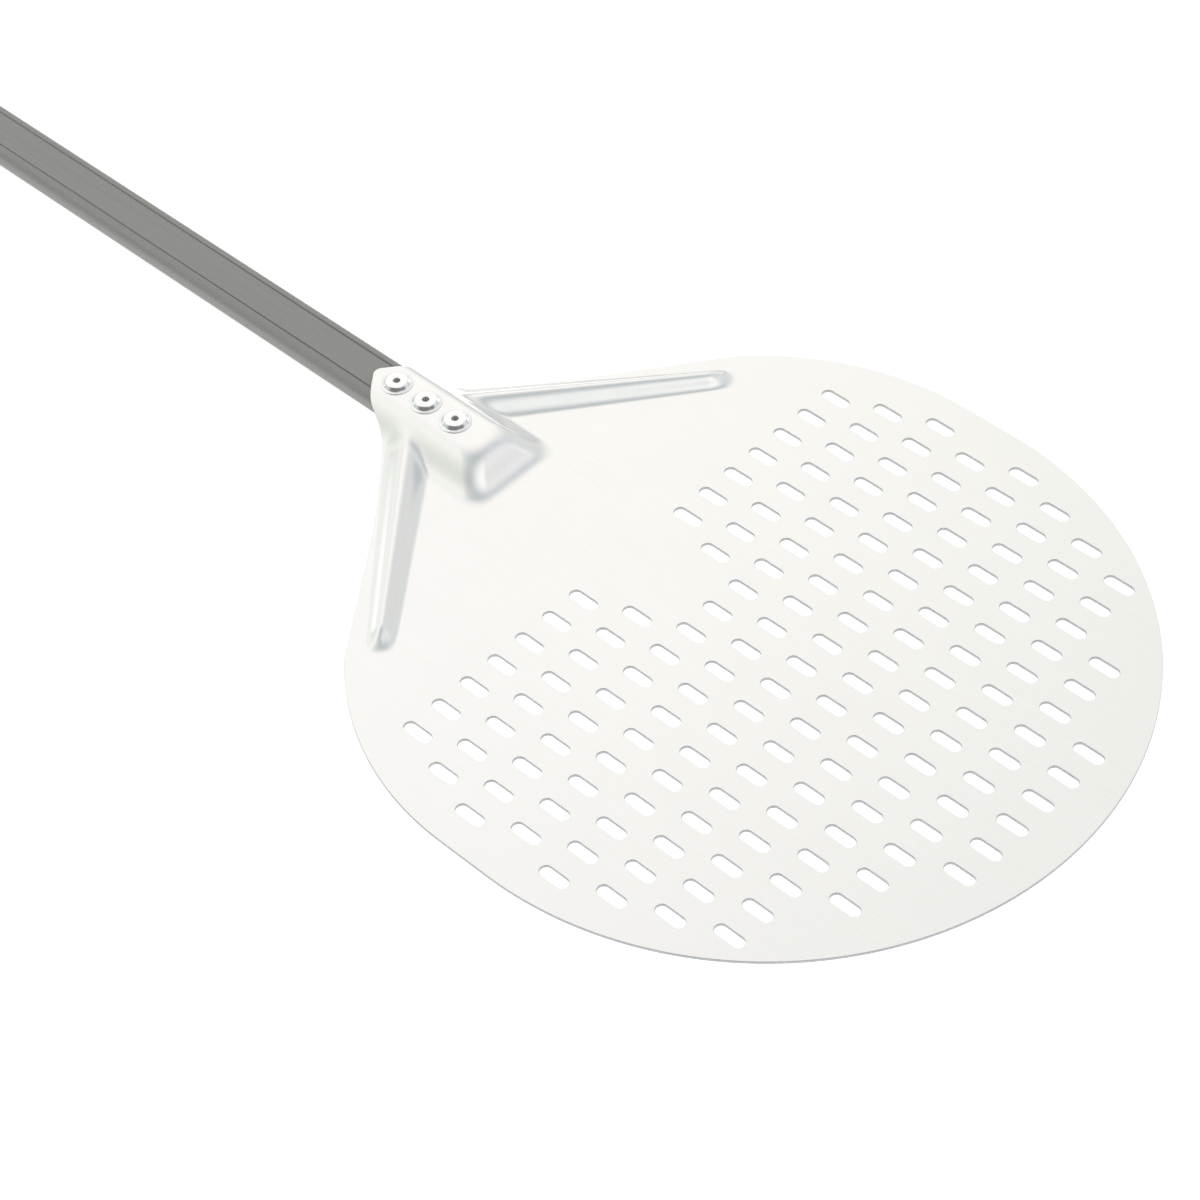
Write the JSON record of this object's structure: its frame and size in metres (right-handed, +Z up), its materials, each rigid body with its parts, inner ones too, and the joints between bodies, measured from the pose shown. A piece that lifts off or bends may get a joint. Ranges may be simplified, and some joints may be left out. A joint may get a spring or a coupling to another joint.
{
  "type": "pizza peel",
  "caption": "Round perforated aluminium pizza peel head, pressed with stiffening ribs and riveted over a flat-oval tube handle, for sliding pizza in and out of an oven.",
  "frame": {"origin": "centre of the round head on its underside", "axes": "+X towards the head's front edge with the handle along -X, +Z up out of the head's carrying face"},
  "size_m": [0.9733, 0.33, 0.0152],
  "materials": {
    "head_aluminium": "bright, finely brushed along the handle's direction",
    "handle_grey": "matt grey anodised, fine speckle",
    "rivet_aluminium": "polished",
    "mandrel_steel": "dark, snapped end",
    "cap_plastic": "fine moulded grain"
  },
  "bodies": {
    "root": {"peel_head": "head_aluminium", "handle_tube": "handle_grey", "rivet_body_rear": "rivet_aluminium", "rivet_body_middle": "rivet_aluminium", "rivet_body_front": "rivet_aluminium", "rivet_mandrel_rear": "mandrel_steel", "rivet_mandrel_middle": "mandrel_steel", "rivet_mandrel_front": "mandrel_steel", "handle_end_cap": "cap_plastic"}
  },
  "joints": []
}
